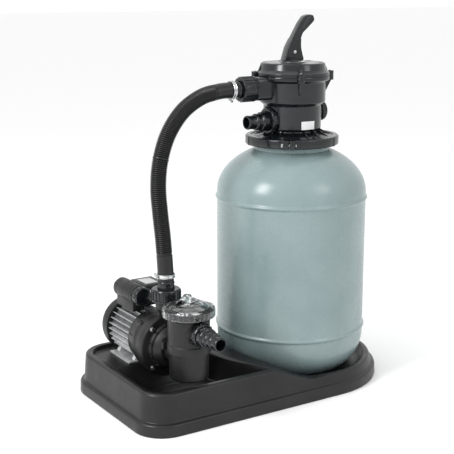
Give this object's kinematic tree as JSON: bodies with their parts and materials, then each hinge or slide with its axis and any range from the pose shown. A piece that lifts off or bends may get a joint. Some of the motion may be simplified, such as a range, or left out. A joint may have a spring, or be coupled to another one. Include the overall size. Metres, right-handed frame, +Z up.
{
  "type": "pool filter pump set",
  "caption": "Pool filter pump set: strainer pump with finned motor, grey sand filter tank with lever valve, and a corrugated hose, on one moulded tray.",
  "frame": {"origin": "on the floor, under the middle of the tray's length and width", "axes": "+X along the tray from the pump to the tank, +Y across it to the back, +Z up; the suction port looks along -Y"},
  "size_m": [0.72, 0.4795, 0.8649],
  "materials": {
    "tray_polyethylene": "moulded",
    "tank_polyethylene": "semi-gloss moulded",
    "valve_abs": "moulded",
    "pump_polypropylene": "glass-filled, moulded",
    "clear_polycarbonate": "clear moulded plastic",
    "white_polypropylene": "moulded",
    "hose_polyethylene": "corrugated, extruded",
    "nitrile_rubber": "moulded",
    "stainless_steel": "rolled",
    "cast_aluminium": "cast and painted silver",
    "black_painted_steel": "semi-matt paint",
    "laminated_iron": "laminated"
  },
  "bodies": {
    "pump_set": {"base_tray": "tray_polyethylene", "capacitor_box": "black_painted_steel", "capacitor_cap": "pump_polypropylene", "casing_bolt_1": "stainless_steel", "casing_bolt_2": "stainless_steel", "casing_bolt_3": "stainless_steel", "casing_bolt_4": "stainless_steel", "casing_o_ring": "nitrile_rubber", "clamp_bolt_front": "stainless_steel", "clamp_bolt_rear": "stainless_steel", "clamp_half_left": "valve_abs", "clamp_half_right": "valve_abs", "drain_plug": "pump_polypropylene", "fan_cover": "black_painted_steel", "front_bearing": "stainless_steel", "front_end_shield": "black_painted_steel", "inlet_tail": "valve_abs", "lateral_drains": "white_polypropylene", "lid_screw_1": "stainless_steel", "lid_screw_2": "stainless_steel", "lid_screw_3": "stainless_steel", "lid_screw_4": "stainless_steel", "lid_seal": "nitrile_rubber", "lower_hose_clamp": "stainless_steel", "motor_foot": "cast_aluminium", "motor_housing": "cast_aluminium", "neck_seal": "nitrile_rubber", "outlet_tail": "valve_abs", "pump_casing": "pump_polypropylene", "pump_port_tail": "valve_abs", "rear_bearing": "stainless_steel", "rear_end_shield": "black_painted_steel", "return_tail": "valve_abs", "seal_plate": "pump_polypropylene", "shaft_seal": "nitrile_rubber", "spider_gasket": "nitrile_rubber", "standpipe": "white_polypropylene", "stator": "laminated_iron", "tank_shell": "tank_polyethylene", "terminal_box": "cast_aluminium", "transfer_hose": "hose_polyethylene", "upper_hose_clamp": "stainless_steel", "valve_body": "valve_abs", "valve_lid": "valve_abs"},
    "valve_indexer": {"spindle_washer": "stainless_steel", "rotor_spring": "stainless_steel"},
    "valve_rotor_body": {"valve_rotor": "white_polypropylene", "handle_pin": "stainless_steel"},
    "handle": {"valve_handle": "valve_abs"},
    "waste_cap": {"waste_plug": "valve_abs"},
    "pump_port_union": {"pump_port_nut": "valve_abs"},
    "return_union": {"return_nut": "valve_abs"},
    "outlet_union": {"outlet_nut": "valve_abs"},
    "inlet_union": {"inlet_nut": "valve_abs"},
    "rotor_shaft": {"motor_shaft": "stainless_steel", "cooling_fan": "pump_polypropylene", "impeller": "white_polypropylene"},
    "lid_carrier": {"lid_o_ring": "nitrile_rubber"},
    "strainer_cover": {"strainer_lid": "clear_polycarbonate"},
    "basket": {"strainer_basket": "white_polypropylene"}
  },
  "joints": [
    {"name": "valve_turn", "type": "hinge", "parent": "pump_set", "child": "valve_indexer", "pos_m": [0.148, 0, 0.756], "axis": [0, 0, 1], "continuous": true},
    {"name": "rotor_lift", "type": "slide", "parent": "valve_indexer", "child": "valve_rotor_body", "axis": [0, 0, 1], "range_m": [0, 0.008], "deforming": ["rotor_spring"]},
    {"name": "handle_press", "type": "hinge", "parent": "valve_rotor_body", "child": "handle", "pos_m": [0.148, 0, 0.7794], "axis": [0.2588, 0.9659, 0], "range_deg": [0, 50], "stiffness_Nm_per_rad": 4},
    {"name": "waste_plug_turn", "type": "hinge", "parent": "pump_set", "child": "waste_cap", "pos_m": [0.23, 0, 0.638], "axis": [1, 0, 0], "continuous": true},
    {"name": "pump_port_nut_turn", "type": "hinge", "parent": "pump_set", "child": "pump_port_union", "pos_m": [0.016, 0, 0.699], "axis": [1, 0, 0], "continuous": true},
    {"name": "return_nut_turn", "type": "hinge", "parent": "pump_set", "child": "return_union", "pos_m": [0.08, 0, 0.622], "axis": [1, 0, 0], "continuous": true},
    {"name": "outlet_nut_turn", "type": "hinge", "parent": "pump_set", "child": "outlet_union", "pos_m": [-0.2216, -0.04, 0.26], "axis": [0, 0, 1], "continuous": true},
    {"name": "inlet_nut_turn", "type": "hinge", "parent": "pump_set", "child": "inlet_union", "pos_m": [-0.2216, -0.195, 0.207], "axis": [0, 1, 0], "continuous": true},
    {"name": "shaft_spin", "type": "hinge", "parent": "pump_set", "child": "rotor_shaft", "pos_m": [-0.2216, 0, 0.145], "axis": [0, 1, 0], "continuous": true},
    {"name": "lid_lift", "type": "slide", "parent": "pump_set", "child": "lid_carrier", "axis": [0, 0, 1], "range_m": [0, 0.12]},
    {"name": "lid_turn", "type": "hinge", "parent": "lid_carrier", "child": "strainer_cover", "pos_m": [-0.2216, -0.138, 0.25], "axis": [0, 0, 1], "range_deg": [0, 60]},
    {"name": "basket_lift", "type": "slide", "parent": "pump_set", "child": "basket", "axis": [0, 0, 1], "range_m": [0, 0.12]}
  ],
  "couplings": [
    {"joint": "rotor_lift", "follows": "handle_press", "m_per_rad": 0.009167},
    {"joint": "basket_lift", "follows": "lid_lift", "ratio": 1}
  ]
}
